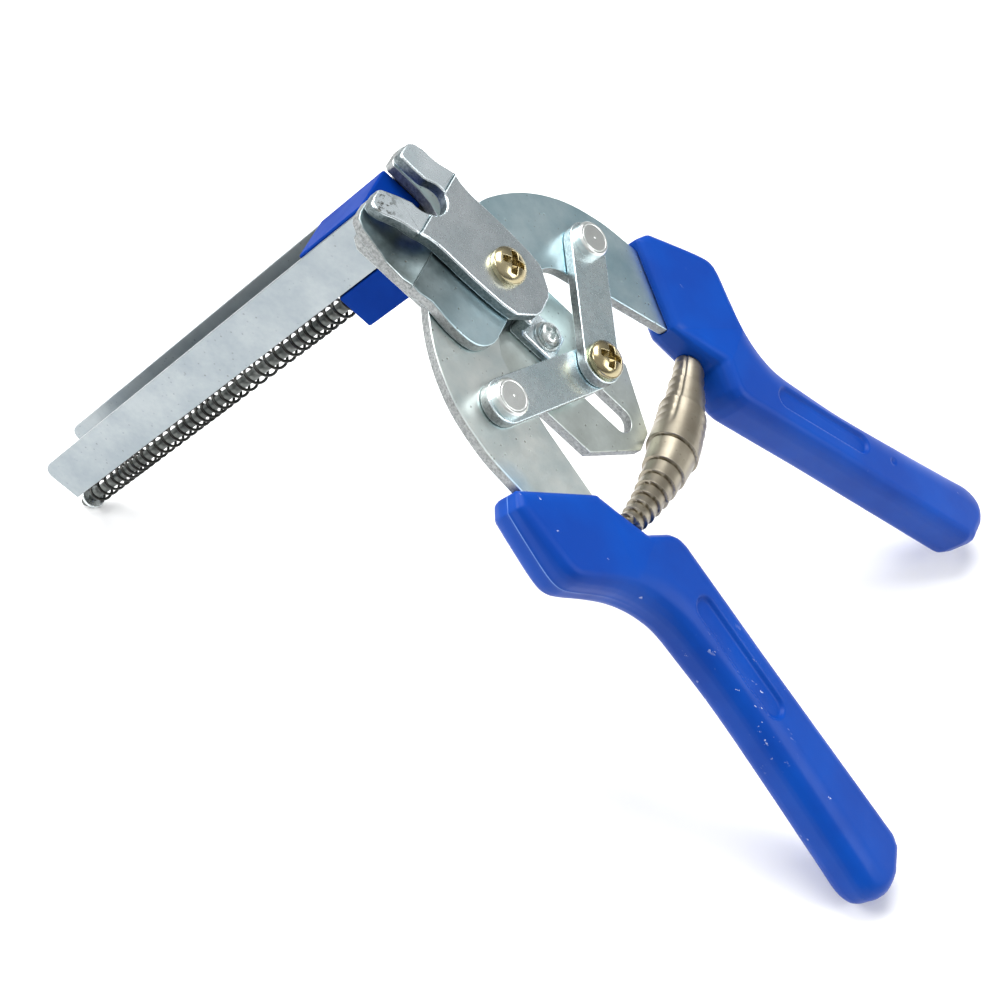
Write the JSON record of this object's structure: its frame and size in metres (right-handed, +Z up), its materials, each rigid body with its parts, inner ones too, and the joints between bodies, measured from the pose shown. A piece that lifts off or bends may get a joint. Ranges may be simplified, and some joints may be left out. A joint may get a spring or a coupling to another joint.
{
  "type": "cage clip plier",
  "caption": "Hand plier that feeds wire cage clips from a spring magazine into a forked jaw, with blue gripped handles and an equalising linkage.",
  "frame": {"origin": "centre of the footprint on the bench, under the tool as it stands on its rod tip and grip ends", "axes": "+Z up, +X from the magazine towards the grips, Y across the handles, +Y on the side of the upper handle"},
  "size_m": [0.2456, 0.131, 0.1364],
  "materials": {
    "zinc_plate": "zinc plated stamped steel, slightly blue",
    "bright_zinc": "bright zinc plated steel",
    "yellow_zinc": "yellow zinc plated steel screws",
    "spring_strip": "nickel coloured spring strip",
    "black_wire": "black spring wire",
    "blue_plastic": "blue moulded plastic, satin"
  },
  "bodies": {
    "frame": {"base_plate": "zinc_plate", "fork_plate": "zinc_plate", "fork_bracket": "zinc_plate", "pivot_screw": "yellow_zinc", "pivot_nut": "bright_zinc", "fork_spacer": "bright_zinc", "bracket_screw": "bright_zinc", "bracket_washer": "bright_zinc", "magazine_channel": "zinc_plate", "guide_rod": "bright_zinc", "rod_keeper": "bright_zinc", "magazine_spring": "black_wire", "volute_spring": "spring_strip"},
    "upper_handle": {"upper_handle_plate": "zinc_plate", "upper_grip": "blue_plastic", "upper_rivet": "bright_zinc"},
    "lower_handle": {"lower_handle_plate": "zinc_plate", "lower_grip": "blue_plastic", "lower_rivet": "bright_zinc"},
    "upper_link": {"upper_link": "zinc_plate"},
    "lower_link": {"lower_link": "zinc_plate"},
    "slider": {"slider_screw": "yellow_zinc", "slider_bush": "bright_zinc", "slider_nut": "bright_zinc"},
    "follower": {"follower": "blue_plastic"}
  },
  "joints": [
    {"name": "upper_squeeze", "type": "hinge", "parent": "frame", "child": "upper_handle", "pos_m": [0.00529, 0, 0.1124], "axis": [0.682, 0, 0.7314], "range_deg": [-10, 0], "stiffness_Nm_per_rad": 0.4, "springref_deg": 11.46, "deforming": ["volute_spring"]},
    {"name": "lower_squeeze", "type": "hinge", "parent": "frame", "child": "lower_handle", "pos_m": [0.00325, 0, 0.11021], "axis": [0.682, 0, 0.7314], "range_deg": [0, 10]},
    {"name": "upper_link_pivot", "type": "hinge", "parent": "upper_handle", "child": "upper_link", "pos_m": [0.0186, 0.0273, 0.10409], "axis": [0.682, 0, 0.7314], "range_deg": [0, 20]},
    {"name": "lower_link_pivot", "type": "hinge", "parent": "lower_handle", "child": "lower_link", "pos_m": [0.01655, -0.0273, 0.1019], "axis": [0.682, 0, 0.7314], "range_deg": [-20, 0]},
    {"name": "slider_travel", "type": "slide", "parent": "frame", "child": "slider", "axis": [0.7314, 0, -0.682], "range_m": [0, 0.01]},
    {"name": "follower_travel", "type": "slide", "parent": "frame", "child": "follower", "axis": [-0.682, 0, -0.7314], "range_m": [0, 0.1], "stiffness_N_per_m": 30, "springref_m": -0.05, "deforming": ["magazine_spring"]}
  ],
  "couplings": [
    {"joint": "lower_squeeze", "follows": "upper_squeeze", "ratio": -1},
    {"joint": "upper_link_pivot", "follows": "upper_squeeze", "ratio": -1.965},
    {"joint": "lower_link_pivot", "follows": "upper_squeeze", "ratio": 1.965},
    {"joint": "slider_travel", "follows": "upper_squeeze", "m_per_rad": -0.05125}
  ]
}
